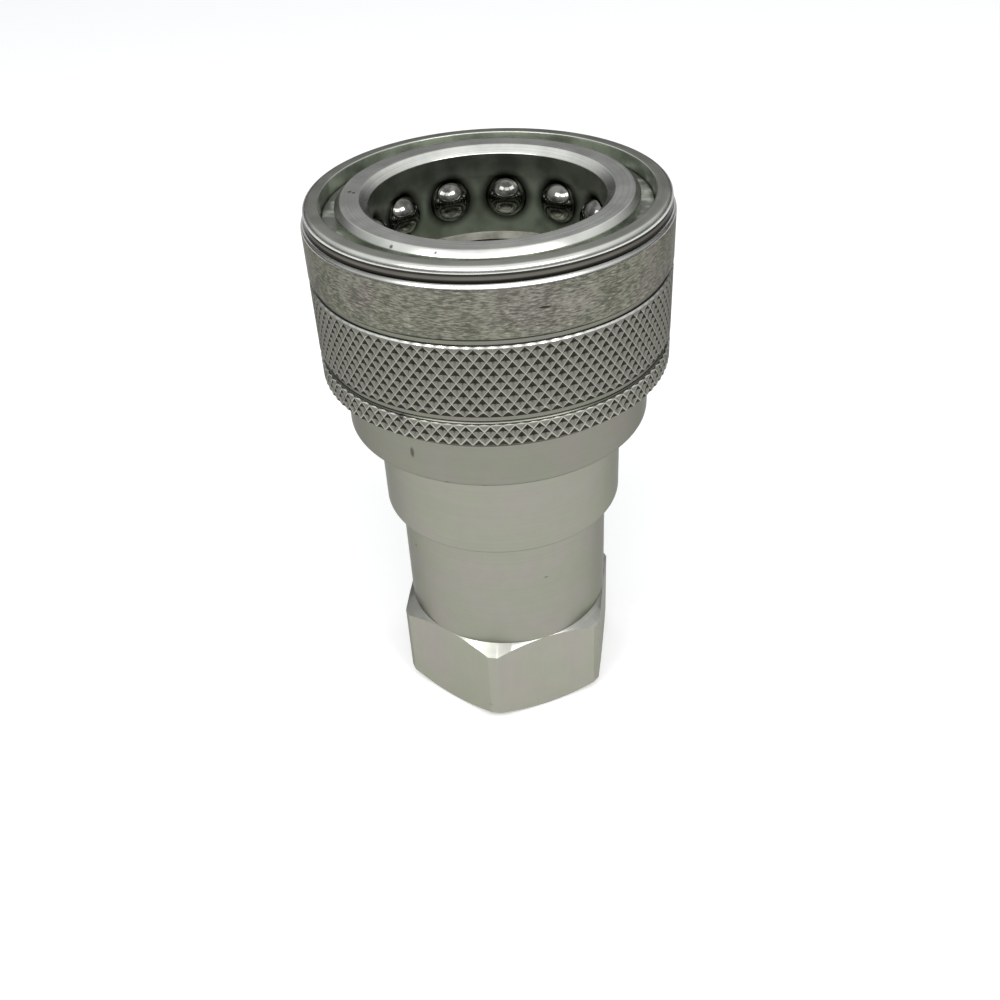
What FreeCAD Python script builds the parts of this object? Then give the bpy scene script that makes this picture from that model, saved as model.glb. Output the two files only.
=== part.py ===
import FreeCAD
import Part
import math
import os

# Quick coupler, female half: a nipple pushes into the mouth at the top, twelve balls drop
# into its groove, and the sprung sleeve keeps them there. Pulling the sleeve down frees them.
# Millimetres, +Z up towards the mouth, origin at the middle of the hexagon's end face.

# Overall length, sleeve radius and the running clearances
overall_height = 83.0
sleeve_r = 24.9
running_gap = 0.08
land_gap = 0.1
stem_gap = 0.05
loose_gap = 0.3
seat_gap = 0.02

# Adapter: hexagon, plain barrel, pipe thread below and a screwed spigot above
band_over_barrel = 2.1
hex_height = 15.3
hex_corner_trim = 0.425
hex_shoulder_angle = 33.0
hex_foot_chamfer = 0.5
hex_foot_angle = 30.0
barrel_edge = 0.25
port_wall = 2.8
port_depth = 19.0
port_chamfer = 0.8
port_drill_angle = 40.0
flow_step = 1.8
spigot_inset = 2.98
spigot_length = 9.0
spigot_relief_depth = 0.62
spigot_relief_width = 1.3
spigot_lead = 0.4
spigot_chamfer = 0.5
body_seal_section = 1.6
body_seal_groove_depth = 1.62
body_seal_groove_width = 2.1
body_seal_from_end = 1.9

# Socket body: plain band, collar that guides the sleeve's skirt, and the nose
body_length = 47.6
collar_over_band = 3.9
band_height = 14.8
band_edge = 0.35
collar_height = 9.3
collar_edge = 0.5
spring_room = 1.75
nose_wall = 4.45
nose_edge = 0.75
socket_depth = 21.4
mouth_chamfer_width = 1.1
mouth_chamfer_depth = 1.0
guide_above_balls = 0.05
guide_relief = 0.3
socket_floor_fillet = 0.5
socket_floor_width = 5.8
throat_length = 3.0
seat_angle = 45.0
chamber_step = 2.6

# Locking balls and the sleeve's slide
ball_count = 12
ball_r = 3.175
ball_depth = 7.5
ball_hole_gap = 0.06
ball_play = 0.28
ball_clears_bore = 0.02
sleeve_travel = 6.3

# Nipple seal and its backup ring, in one groove of the socket
seal_groove_top = 12.9
seal_groove_width = 5.1
seal_groove_depth = 2.4
seal_section = 2.72
backup_width = 1.3

# Sleeve, from the rim down
skirt_wall = 2.82
neck_step = 0.5
neck_height = 1.95
neck_edge = 0.4
ledge_height = 0.55
ledge_edge = 0.3
plain_band_end = 9.05
groove_width = 1.05
groove_floor_width = 0.45
knurl_count = 100
knurl_row_height = 1.0
knurl_depth = 0.3
knurl_end_chamfer = 0.3
knurl_end_pit_share = 0.6
upper_knurl_rows = 10
lower_knurl_rows = 3
knurl_gap = 1.07
knurl_gap_line = 0.4
knurl_relief = 0.21
tail_length = 1.2
tail_angle = 38.0
land_height = 2.6
land_above_ball = 0.15
front_bore_gap = 0.08
ramp_length = 4.25
rim_edge = 0.15
sleeve_end_edge = 0.25

# Retaining ring that stops the sleeve at the top
ring_above_balls = 0.86
ring_thickness = 1.5
ring_groove_depth = 1.25
ring_stop_gap = 0.04
ring_split_angle = 7.0
ring_split_at = 150.0
ring_edge = 0.2

# Springs
sleeve_spring_wire = 1.4
sleeve_spring_turns = 4.0
poppet_spring_wire = 1.3
poppet_spring_turns = 4.8
poppet_spring_gap = 0.85
coil_spans = 24
coil_sides = 10

# Valve poppet and the cage that guides it
poppet_travel = 7.0
poppet_flow_gap = 0.9
poppet_rim_height = 2.2
poppet_nose_below_floor = 0.7
poppet_nose_chamfer = 0.8
poppet_nose_land = 4.5
poppet_dish_depth = 0.6
poppet_cone_gap = 0.12
poppet_boss_gap = 0.45
poppet_boss_height = 1.6
stem_below_hub = 2.0
stem_edge = 0.6
poppet_edge = 0.4
poppet_dish_edge = 0.2
poppet_seal_section = 1.5
poppet_seal_up_cone = 0.35
cage_flange_height = 1.6
cage_wall = 1.7
cage_floor_below_flange = 6.0
cage_floor_height = 2.0
cage_hub_share = 0.5
cage_hub_wall = 1.7
cage_hub_above_floor = 2.5
cage_hub_below_floor = 1.5
cage_window_count = 4
cage_window_share = 0.685
cage_window_below_seam = 1.0
cage_hub_web = 0.6
cage_edge = 0.3
cage_foot_edge = 0.8

# Places that follow from the sizes above
skirt_bore_r = sleeve_r - skirt_wall
neck_r = sleeve_r - neck_step
collar_r = skirt_bore_r - running_gap
nose_r = collar_r - spring_room
socket_r = nose_r - nose_wall
mouth_chamfer_r = socket_r + mouth_chamfer_width
seal_groove_r = socket_r + seal_groove_depth
throat_r = socket_r - socket_floor_width
chamber_r = socket_r - chamber_step
band_r = collar_r - collar_over_band
barrel_r = band_r - band_over_barrel
hex_across_flats = 2 * barrel_r
hex_corner_r = barrel_r / math.cos(math.radians(30)) - hex_corner_trim
port_r = barrel_r - port_wall
flow_r = chamber_r - flow_step
spigot_r = band_r - spigot_inset
spigot_relief_r = spigot_r - spigot_relief_depth
seam_z = overall_height - body_length
spigot_end_z = seam_z + spigot_length
collar_z = seam_z + band_height
spring_seat_z = collar_z + collar_height
socket_floor_z = overall_height - socket_depth
ball_z = overall_height - ball_depth
guide_z = ball_z + ball_r + ball_hole_gap + guide_above_balls
relieved_r = socket_r + guide_relief
land_r = nose_r + land_gap
ball_rest_r = land_r - ball_play - ball_r
ball_travel = socket_r + ball_r + ball_clears_bore - ball_rest_r
front_bore_r = ball_rest_r + ball_travel + ball_r + front_bore_gap
land_top_z = ball_z + land_above_ball
land_bottom_z = land_top_z - land_height
ramp_top_z = land_top_z + ramp_length
ring_z = ball_z + ball_r + ring_above_balls
ring_inner_r = nose_r - ring_groove_depth + seat_gap
ramp_slope = (front_bore_r - land_r) / ramp_length
ring_outer_r = land_r + ramp_slope * (ring_z - land_top_z) - ring_stop_gap
upper_knurl_z = overall_height - plain_band_end - groove_width
upper_knurl_end_z = upper_knurl_z - upper_knurl_rows * knurl_row_height
lower_knurl_z = upper_knurl_end_z - knurl_gap
lower_knurl_end_z = lower_knurl_z - lower_knurl_rows * knurl_row_height
sleeve_end_z = lower_knurl_end_z - tail_length
knurl_root_r = sleeve_r - knurl_depth
seat_top_z = socket_floor_z - throat_length
seat_bottom_z = seat_top_z - (chamber_r - throat_r) / math.tan(math.radians(seat_angle))
cage_top_z = spigot_end_z + cage_flange_height
cage_wall_outer_r = flow_r - loose_gap
cage_wall_inner_r = cage_wall_outer_r - cage_wall
cage_hub_r = cage_wall_inner_r * cage_hub_share
cage_window_width = cage_wall_outer_r * cage_window_share
stem_r = cage_hub_r - cage_hub_wall
cage_floor_z = spigot_end_z - cage_floor_below_flange
cage_hub_end_z = cage_floor_z - cage_floor_height - cage_hub_below_floor
poppet_nose_r = throat_r - loose_gap
poppet_dish_r = poppet_nose_r - poppet_nose_land
poppet_rim_r = chamber_r - poppet_flow_gap
poppet_spring_mean_r = cage_wall_inner_r - poppet_spring_gap - poppet_spring_wire / 2
poppet_boss_r = poppet_spring_mean_r - poppet_spring_wire / 2 - poppet_boss_gap

axis_foot = FreeCAD.Vector(0, 0, 0)
axis_up = FreeCAD.Vector(0, 0, 1)


def in_section(r, z):
    return FreeCAD.Vector(r, 0, z)


def outline(points, closed=True):
    """A wire in the XZ plane through (r, z) or (r, z, fillet) points, with its round corners as arcs."""
    corners = [in_section(p[0], p[1]) for p in points]
    fillets = [p[2] if len(p) > 2 else 0.0 for p in points]
    starts = list(corners)
    ends = list(corners)
    arcs = [None] * len(corners)
    for i, corner in enumerate(corners):
        if not fillets[i]:
            continue
        back = (corners[i - 1] - corner).normalize()
        ahead = (corners[(i + 1) % len(corners)] - corner).normalize()
        half = back.getAngle(ahead) / 2
        inward = (back + ahead).normalize()
        centre = corner + inward * (fillets[i] / math.sin(half))
        starts[i] = corner + back * (fillets[i] / math.tan(half))
        ends[i] = corner + ahead * (fillets[i] / math.tan(half))
        arcs[i] = Part.Arc(starts[i], centre - inward * fillets[i], ends[i]).toShape()
    edges = []
    for i in range(len(corners)):
        if arcs[i]:
            edges.append(arcs[i])
        if closed or i + 1 < len(corners):
            edges.append(Part.makeLine(ends[i], starts[(i + 1) % len(corners)]))
    return Part.Wire(edges)


def turned(points, angle=360.0):
    """A solid turned about Z from a closed outline."""
    return Part.Face(outline(points)).revolve(axis_foot, axis_up, angle)


def turned_skin(points):
    """The faces turned about Z from an open outline."""
    return outline(points, closed=False).revolve(axis_foot, axis_up, 360.0).Faces


def about_z(shape, angle):
    copy = shape.copy()
    copy.rotate(axis_foot, axis_up, angle)
    return copy


def o_ring(mean_r, section, z):
    return Part.makeTorus(mean_r, section / 2, in_section(0, z))


def closed_solid(faces):
    skin = Part.Compound(faces)
    skin.sewShape()
    solid = Part.Solid(skin.Shells[0])
    if solid.Volume < 0:
        solid.reverse()
    return solid


def triangle(a, b, c):
    return Part.Face(Part.makePolygon([a, b, c, a]))


def coil(mean_r, wire, z_low, z_high, turns):
    """A compression spring with one closed turn at each end, drawn as short straight spans of wire."""
    low = z_low + wire / 2 + seat_gap
    closed_rise = wire + 2 * seat_gap
    open_rise = (z_high - z_low - wire - 2 * seat_gap - 2 * closed_rise) / (turns - 2)
    spans = round(turns * coil_spans)
    loops = []
    for i in range(spans + 1):
        turn = turns * i / spans
        rise = closed_rise * (min(turn, 1) + max(turn - turns + 1, 0)) + open_rise * min(max(turn - 1, 0), turns - 2)
        outward = FreeCAD.Vector(math.cos(2 * math.pi * turn), math.sin(2 * math.pi * turn), 0)
        middle = outward * mean_r + in_section(0, low + rise)
        loop = []
        for side in range(coil_sides):
            angle = 2 * math.pi * side / coil_sides
            loop.append(middle + (outward * math.cos(angle) + axis_up * math.sin(angle)) * (wire / 2))
        loops.append(loop)
    faces = [Part.Face(Part.makePolygon(loop + [loop[0]])) for loop in (loops[0], loops[-1])]
    for near, far in zip(loops, loops[1:]):
        for side in range(coil_sides):
            after = (side + 1) % coil_sides
            faces.append(triangle(near[side], near[after], far[after]))
            faces.append(triangle(near[side], far[after], far[side]))
    return closed_solid(faces)


def adapter():
    """Hexagon bar turned down to a barrel, with the pipe thread's bore and the screwed spigot."""
    corner_r = barrel_r / math.cos(math.radians(30))
    corners = []
    for i in range(7):
        angle = math.radians(90 + 60 * i)
        corners.append(FreeCAD.Vector(corner_r * math.cos(angle), corner_r * math.sin(angle), 0))
    bar = Part.Face(Part.makePolygon(corners)).extrude(in_section(0, hex_height))
    shoulder_drop = (hex_corner_r - barrel_r) * math.tan(math.radians(hex_shoulder_angle))
    foot_r = barrel_r - hex_foot_chamfer
    foot_rise = (hex_corner_r - foot_r) * math.tan(math.radians(hex_foot_angle))
    blank = turned([
        (0, 0), (foot_r, 0), (hex_corner_r, foot_rise), (hex_corner_r, hex_height - shoulder_drop),
        (barrel_r, hex_height), (0, hex_height)])
    groove_low = spigot_end_z - body_seal_from_end - body_seal_groove_width
    groove_high = spigot_end_z - body_seal_from_end
    groove_floor_r = spigot_r - body_seal_groove_depth
    barrel = turned([
        (0, hex_height), (barrel_r, hex_height), (barrel_r, seam_z, barrel_edge), (spigot_relief_r, seam_z),
        (spigot_relief_r, seam_z + spigot_relief_width), (spigot_r, seam_z + spigot_relief_width + spigot_lead),
        (spigot_r, groove_low), (groove_floor_r, groove_low), (groove_floor_r, groove_high),
        (spigot_r, groove_high), (spigot_r, spigot_end_z - spigot_chamfer),
        (spigot_r - spigot_chamfer, spigot_end_z), (0, spigot_end_z)])
    drill_rise = (port_r - flow_r) * math.tan(math.radians(port_drill_angle))
    passage = turned([
        (0, 0), (port_r + port_chamfer, 0), (port_r, port_chamfer), (port_r, port_depth),
        (flow_r, port_depth + drill_rise), (flow_r, spigot_end_z), (0, spigot_end_z)])
    return bar.common(blank).fuse(barrel).removeSplitter().cut(passage)


def socket_body():
    """Band, collar and nose in one turned piece, bored for the nipple, the seal, the seat and the balls."""
    thread_r = spigot_r + seat_gap
    ring_groove_r = nose_r - ring_groove_depth
    outer = [
        (thread_r, seam_z), (band_r, seam_z, band_edge), (band_r, collar_z),
        (collar_r, collar_z, collar_edge), (collar_r, spring_seat_z, collar_edge), (nose_r, spring_seat_z),
        (nose_r, ring_z - seat_gap), (ring_groove_r, ring_z - seat_gap),
        (ring_groove_r, ring_z + ring_thickness + seat_gap), (nose_r, ring_z + ring_thickness + seat_gap),
        (nose_r, overall_height - nose_edge), (nose_r - nose_edge, overall_height)]
    groove_top_z = overall_height - seal_groove_top
    groove_bottom_z = groove_top_z - seal_groove_width
    inner = [
        (mouth_chamfer_r, overall_height), (socket_r, overall_height - mouth_chamfer_depth),
        (socket_r, guide_z), (relieved_r, guide_z), (relieved_r, groove_top_z),
        (seal_groove_r, groove_top_z), (seal_groove_r, groove_bottom_z),
        (relieved_r, groove_bottom_z), (relieved_r, socket_floor_z, socket_floor_fillet),
        (throat_r, socket_floor_z), (throat_r, seat_top_z), (chamber_r, seat_bottom_z),
        (chamber_r, cage_top_z), (thread_r, cage_top_z)]
    body = turned(outer + inner)
    hole_r = ball_r + ball_hole_gap
    drill = Part.makeCylinder(
        hole_r, collar_r - ball_rest_r, FreeCAD.Vector(ball_rest_r, 0, ball_z), FreeCAD.Vector(1, 0, 0))
    pocket = drill.fuse(Part.makeSphere(hole_r, FreeCAD.Vector(ball_rest_r, 0, ball_z)))
    return body.cut([about_z(pocket, i * 360.0 / ball_count) for i in range(ball_count)])


def knurl_band(z_top, rows):
    """Rows of four-sided pits between two crossing sets of ridges, with a chamfer at each end."""
    steps = 2 * knurl_count
    heights = [z_top] + [z_top - row * knurl_row_height for row in range(rows + 1)]
    heights.append(heights[-1])
    heights[1] -= knurl_end_chamfer
    heights[-2] += knurl_end_chamfer
    end = (1, knurl_end_pit_share)
    shares = [(0, 0), end] + [(1, 0)] * (rows - 1) + [end, (0, 0)]
    grid = []
    for row, (z, share) in enumerate(zip(heights, shares)):
        level = []
        for step in range(steps):
            r = knurl_root_r + knurl_depth * share[(row + step + 1) % 2]
            angle = math.pi * step / knurl_count
            level.append(FreeCAD.Vector(r * math.cos(angle), r * math.sin(angle), z))
        grid.append(level)
    facets = []
    for row in range(rows + 2):
        for step in range(steps):
            a = grid[row][step]
            b = grid[row][(step + 1) % steps]
            c = grid[row + 1][(step + 1) % steps]
            d = grid[row + 1][step]
            if (row + step) % 2:
                facets += [triangle(b, c, a), triangle(d, a, c)]
            else:
                facets += [triangle(a, b, d), triangle(c, d, b)]
    return facets, grid[0], grid[-1]


def knurl_shelf(level, inner_r):
    """The flat ring between a knurl's foot and the turned surface beside it."""
    foot = Part.makePolygon(level + [level[0]])
    circle = Part.Wire(Part.Circle(in_section(0, level[0].z), axis_up, inner_r).toShape())
    return Part.makeFace([foot, circle], "Part::FaceMakerBullseye")


def sleeve():
    """Rim, neck, plain band and two knurled bands outside; skirt, locking land, ramp and front bore inside."""
    shelf_r = knurl_root_r - knurl_relief
    groove_z = overall_height - plain_band_end
    slope = (groove_width - groove_floor_width) / 2
    tail_r = shelf_r - tail_length * math.tan(math.radians(tail_angle))
    body_faces = turned_skin([
        (shelf_r, lower_knurl_end_z), (tail_r, sleeve_end_z, sleeve_end_edge),
        (skirt_bore_r, sleeve_end_z), (skirt_bore_r, land_bottom_z), (land_r, land_bottom_z),
        (land_r, land_top_z), (front_bore_r, ramp_top_z), (front_bore_r, overall_height, rim_edge),
        (neck_r, overall_height, neck_edge), (neck_r, overall_height - neck_height, ledge_edge),
        (sleeve_r, overall_height - neck_height - ledge_height, ledge_edge), (sleeve_r, groove_z),
        (shelf_r, groove_z - slope), (shelf_r, upper_knurl_z)])
    line_z = (upper_knurl_end_z + lower_knurl_z) / 2 - knurl_gap_line / 2
    gap_faces = turned_skin([
        (shelf_r, upper_knurl_end_z), (shelf_r, line_z + knurl_gap_line / 2),
        (shelf_r - knurl_gap_line / 2, line_z), (shelf_r, line_z - knurl_gap_line / 2),
        (shelf_r, lower_knurl_z)])
    upper, upper_top, upper_end = knurl_band(upper_knurl_z, upper_knurl_rows)
    lower, lower_top, lower_end = knurl_band(lower_knurl_z, lower_knurl_rows)
    shelves = [knurl_shelf(level, shelf_r) for level in (upper_top, upper_end, lower_top, lower_end)]
    return closed_solid(body_faces + gap_faces + shelves + upper + lower)


def sleeve_spring():
    mean_r = (nose_r + skirt_bore_r) / 2
    return coil(mean_r, sleeve_spring_wire, spring_seat_z, land_bottom_z, sleeve_spring_turns)


def retaining_ring():
    """Split ring in the nose's groove, wide enough to catch the sleeve's ramp."""
    ring_top_z = ring_z + ring_thickness
    ring = turned([
        (ring_inner_r, ring_z), (ring_outer_r, ring_z), (ring_outer_r, ring_top_z, ring_edge),
        (ring_inner_r, ring_top_z)], 360.0 - ring_split_angle)
    return about_z(ring, ring_split_at + ring_split_angle / 2)


def lock_ball(index):
    ball = Part.makeSphere(ball_r, FreeCAD.Vector(ball_rest_r, 0, ball_z))
    return about_z(ball, index * 360.0 / ball_count)


def backup_ring():
    """Stiff ring on the mouth side of the nipple seal."""
    top_z = overall_height - seal_groove_top - seat_gap
    outer_r = seal_groove_r - seat_gap
    return turned([
        (relieved_r, top_z - backup_width), (outer_r, top_z - backup_width), (outer_r, top_z), (relieved_r, top_z)])


def nipple_seal():
    z = overall_height - seal_groove_top - backup_width - 2 * seat_gap - seal_section / 2
    return o_ring(seal_groove_r - seat_gap - seal_section / 2, seal_section, z)


def body_seal():
    mean_r = spigot_r - body_seal_groove_depth + seat_gap + body_seal_section / 2
    return o_ring(mean_r, body_seal_section, spigot_end_z - body_seal_from_end - body_seal_groove_width / 2)


def poppet_cone_z(r):
    """Height of the poppet's cone at a radius, a small gap below the seat."""
    seat = math.radians(seat_angle)
    return seat_top_z - (r - throat_r) / math.tan(seat) - poppet_cone_gap / math.sin(seat)


def poppet_seal_place():
    """Middle of the seal's section: it just clears the seat, half way down the cone."""
    seat = math.radians(seat_angle)
    middle_r = (throat_r + chamber_r) / 2 - poppet_seal_up_cone
    inset = poppet_seal_section / 2 + seat_gap
    r = middle_r - inset * math.cos(seat)
    z = seat_top_z - (middle_r - throat_r) / math.tan(seat) - inset * math.sin(seat)
    return r, z


def valve_poppet():
    """Mushroom head that closes on the cone seat, with a boss for its spring and a guide stem."""
    rim_top_z = poppet_cone_z(poppet_rim_r)
    rim_z = rim_top_z - poppet_rim_height
    nose_top_z = socket_floor_z - poppet_nose_below_floor
    dish_z = nose_top_z - poppet_dish_depth
    stem_end_z = cage_hub_end_z - stem_below_hub
    head = turned([
        (0, stem_end_z), (stem_r, stem_end_z, stem_edge), (stem_r, rim_z - poppet_boss_height),
        (poppet_boss_r, rim_z - poppet_boss_height, poppet_edge), (poppet_boss_r, rim_z),
        (poppet_rim_r, rim_z, poppet_edge), (poppet_rim_r, rim_top_z),
        (poppet_nose_r, poppet_cone_z(poppet_nose_r)), (poppet_nose_r, nose_top_z - poppet_nose_chamfer),
        (poppet_nose_r - poppet_nose_chamfer, nose_top_z), (poppet_dish_r, nose_top_z, poppet_dish_edge),
        (poppet_dish_r - poppet_dish_depth, dish_z, poppet_dish_edge), (0, dish_z)])
    r, z = poppet_seal_place()
    return head.cut(o_ring(r, poppet_seal_section + 2 * seat_gap, z))


def poppet_seal():
    r, z = poppet_seal_place()
    return o_ring(r, poppet_seal_section, z)


def poppet_spring():
    rim_z = poppet_cone_z(poppet_rim_r) - poppet_rim_height
    return coil(poppet_spring_mean_r, poppet_spring_wire, cage_floor_z, rim_z, poppet_spring_turns)


def valve_guide():
    """Cup that the adapter clamps in the body: flange, wall and floor with windows, and the stem's hub."""
    floor_under_z = cage_floor_z - cage_floor_height
    hub_top_z = cage_floor_z + cage_hub_above_floor
    flange_r = spigot_r - seat_gap
    cup = turned([
        (stem_r + stem_gap, cage_hub_end_z), (cage_hub_r, cage_hub_end_z, cage_edge), (cage_hub_r, floor_under_z),
        (cage_wall_outer_r, floor_under_z, cage_foot_edge), (cage_wall_outer_r, spigot_end_z),
        (flange_r, spigot_end_z), (flange_r, cage_top_z), (cage_wall_inner_r, cage_top_z, cage_edge),
        (cage_wall_inner_r, cage_floor_z), (cage_hub_r, cage_floor_z), (cage_hub_r, hub_top_z, cage_edge),
        (stem_r + stem_gap, hub_top_z)])
    window_top_z = spigot_end_z - cage_window_below_seam
    window = Part.makeBox(
        cage_wall_outer_r, cage_window_width, window_top_z - floor_under_z + cage_floor_height,
        FreeCAD.Vector(cage_hub_r + cage_hub_web, -cage_window_width / 2, floor_under_z - cage_floor_height))
    step = 360.0 / cage_window_count
    return cup.cut([about_z(window, (i + 0.5) * step) for i in range(cage_window_count)])


pieces = {
    "adapter": adapter,
    "socket_body": socket_body,
    "sleeve": sleeve,
    "sleeve_spring": sleeve_spring,
    "retaining_ring": retaining_ring,
    "backup_ring": backup_ring,
    "nipple_seal": nipple_seal,
    "body_seal": body_seal,
    "valve_poppet": valve_poppet,
    "poppet_seal": poppet_seal,
    "poppet_spring": poppet_spring,
    "valve_guide": valve_guide,
}

os.makedirs("parts", exist_ok=True)
for name, make in pieces.items():
    make().exportStep("parts/" + name + ".step")
for index in range(ball_count):
    lock_ball(index).exportStep("parts/lock_ball_%02d.step" % (index + 1))
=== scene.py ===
import bmesh
import bpy
import math
from mathutils import Matrix, Vector


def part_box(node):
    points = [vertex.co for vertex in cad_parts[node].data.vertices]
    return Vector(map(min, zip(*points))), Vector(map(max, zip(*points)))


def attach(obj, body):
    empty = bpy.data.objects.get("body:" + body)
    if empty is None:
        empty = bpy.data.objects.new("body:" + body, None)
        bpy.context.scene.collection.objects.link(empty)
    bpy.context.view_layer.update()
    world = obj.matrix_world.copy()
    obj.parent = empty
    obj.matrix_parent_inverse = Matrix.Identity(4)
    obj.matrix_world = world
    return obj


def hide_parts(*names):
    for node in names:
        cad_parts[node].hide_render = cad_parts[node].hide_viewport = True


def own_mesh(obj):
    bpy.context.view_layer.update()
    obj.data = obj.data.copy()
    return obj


bl_info = {
    "name": "Quick Coupler",
    "version": (1, 0, 0),
    "blender": (4, 5, 0),
    "location": "View3D > Sidebar > Coupler",
    "description": "Dresses the packed quick coupler with turned, knurled and plated pieces",
    "category": "Object",
}

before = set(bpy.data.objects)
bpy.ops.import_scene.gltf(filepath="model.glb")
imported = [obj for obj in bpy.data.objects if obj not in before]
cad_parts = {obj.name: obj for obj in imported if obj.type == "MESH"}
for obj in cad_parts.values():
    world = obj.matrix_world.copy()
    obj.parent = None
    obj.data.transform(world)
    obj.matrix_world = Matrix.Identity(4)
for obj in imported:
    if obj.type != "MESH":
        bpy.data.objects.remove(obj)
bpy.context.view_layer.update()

# Pieces are drawn in millimetres, like the part's source, and scaled to metres when they are done.
MM = 0.001
ROUND = 2 * math.pi
UP = (0, 0, 1)
CENTRE = (0, 0, 0)

# Heights where pieces meet, in millimetres
BARREL_TOP = 35.4
COLLAR_TOP = 59.5
SEAT_TOP = 58.6
LAND_BOTTOM = 73.05


def top_of(node):
    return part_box(node)[1].z / MM


def reach_of(node):
    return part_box(node)[1].x / MM


def length(name, description, millimetres):
    """A length in the sidebar, kept in metres as Blender does."""
    return bpy.props.FloatProperty(
        name=name, description=description, default=millimetres * MM, min=0.0, precision=5, unit="LENGTH")


def colour(name, description, value):
    return bpy.props.FloatVectorProperty(
        name=name, description=description, default=value, size=3, min=0.0, max=1.0, subtype="COLOR")


def share(name, description, value):
    return bpy.props.FloatProperty(
        name=name, description=description, default=value, min=0.0, max=1.0, subtype="FACTOR")


class CouplerSleeveSizes(bpy.types.PropertyGroup):
    """The knurled sleeve, from its rim down."""
    radius: length("Sleeve radius", "Outside radius over the satin band and the ridges", reach_of("sleeve"))
    neck_radius: length("Neck radius", "Radius of the low neck below the rim", 24.4)
    skirt_bore: length("Skirt bore", "Inside radius that slides on the body's collar", 22.08)
    land_radius: length("Land radius", "Inside radius that holds the balls in", 20.35)
    front_bore: length("Front bore", "Inside radius at the mouth, which clears the balls", 22.25)
    upper_knurl: length("Upper knurl top", "Height of the upper knurl's top edge", 72.9)
    lower_knurl: length("Lower knurl top", "Height of the lower knurl's top edge", 61.83)
    row_height: length("Knurl row", "Height from one row of pits to the next", 1.0)
    knurl_depth: length("Knurl depth", "Depth of the knurl's pits", 0.3)
    shelf_depth: length("Shelf depth", "Depth of the turned surface beside the knurls", 0.51)
    end_chamfer: length("Knurl chamfer", "Height of the chamfer at each end of the upper knurl", 0.2)
    ridge_width: length("Ridge width", "How far each ridge of the knurl is rounded", 0.055)
    pits: bpy.props.IntProperty(
        name="Pits", description="Number of knurl pits around the sleeve", default=100, min=12)


class CouplerBodySizes(bpy.types.PropertyGroup):
    """The socket body, its balls and its rings."""
    band_radius: length("Band radius", "Radius of the plain band below the collar", 18.1)
    collar_radius: length("Collar radius", "Radius of the collar that the sleeve slides on", 22.0)
    nose_radius: length("Nose radius", "Outside radius of the nose", 20.25)
    bore_radius: length("Bore radius", "Radius of the guide land at the mouth", 15.8)
    relief: length("Relief", "How much wider the bore is below the guide land", 0.3)
    ball_radius: length("Ball radius", "Radius of a locking ball", 3.175)
    ball_centre: length("Ball ring radius", "Distance of a ball's centre from the bore's axis", 16.895)
    ball_height: length("Ball height", "Height of the ring of balls", 75.5)
    ball_count: bpy.props.IntProperty(
        name="Balls", description="Number of locking balls", default=12, min=3)


class CouplerHexagonSizes(bpy.types.PropertyGroup):
    """The adapter with its hexagon, barrel and pipe thread."""
    across_flats: length("Across flats", "Width of the hexagon over two flats", 32.0)
    corner_radius: length("Corner radius", "Radius that the hexagon's corners are turned to", 18.05)
    height: length("Hexagon height", "Height of the hexagon", 15.3)
    edge: length("Edge break", "Width of the broken edges", 0.09)
    port_radius: length("Port radius", "Radius at the roots of the pipe thread", 13.2)
    thread_pitch: length("Thread pitch", "Rise of the pipe thread in one turn", 1.814)
    thread_depth: length("Thread depth", "Height of the thread's ridges", 1.14)


class CouplerFinish(bpy.types.PropertyGroup):
    """Colours of the plated steel, the oiled bore, the rubber and the plastic."""
    plate: colour("Plate", "Zinc plate on the turned outside", (0.297, 0.295, 0.247))
    collar: colour("Collar", "Zinc plate on the collar", (0.232, 0.231, 0.192))
    tail: colour("Tail", "Zinc plate on the sleeve's smooth tail", (0.256, 0.255, 0.213))
    satin: colour("Satin band", "Tumbled band above the knurl", (0.168, 0.163, 0.135))
    ridge: colour("Knurl ridges", "Rubbed ridges of the knurl", (0.40, 0.40, 0.355))
    knurl: colour("Knurl", "Sides of the knurl's pits", (0.215, 0.21, 0.18))
    # Dark tint of the knurl's down-facing facets and deep pits: painted shade.
    knurl_painted_shade: colour("Knurl undersides", "Sooty sides under the knurl's ridges", (0.03, 0.029, 0.024))
    # Pale tint on up-facing chamfers and rounded edges: a painted highlight.
    bright: colour("Bright edge", "Freshly turned chamfers and edges", (0.82, 0.82, 0.77))
    rim: colour("Rim", "Flat face of the rim, and the hexagon's shoulder", (0.52, 0.52, 0.47))
    # Dark tint of the neck's wall: painted shade, standing in for its dark reflection.
    neck: colour("Neck", "Low neck below the rim", (0.13, 0.122, 0.105))
    bore: colour("Bore", "Oiled bore", (0.60, 0.64, 0.56))
    ball: colour("Ball", "Polished balls", (0.27, 0.265, 0.245))
    ring: colour("Ring", "Retaining ring in its gap", (0.36, 0.37, 0.33))
    spring: colour("Spring", "Drawn spring wire", (0.30, 0.29, 0.27))
    rubber: colour("Rubber", "O-rings", (0.018, 0.018, 0.018))
    plastic: colour("Plastic", "Backup ring", (0.62, 0.60, 0.52))
    roughness: share("Roughness", "Roughness of the plated steel", 0.36)


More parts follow.
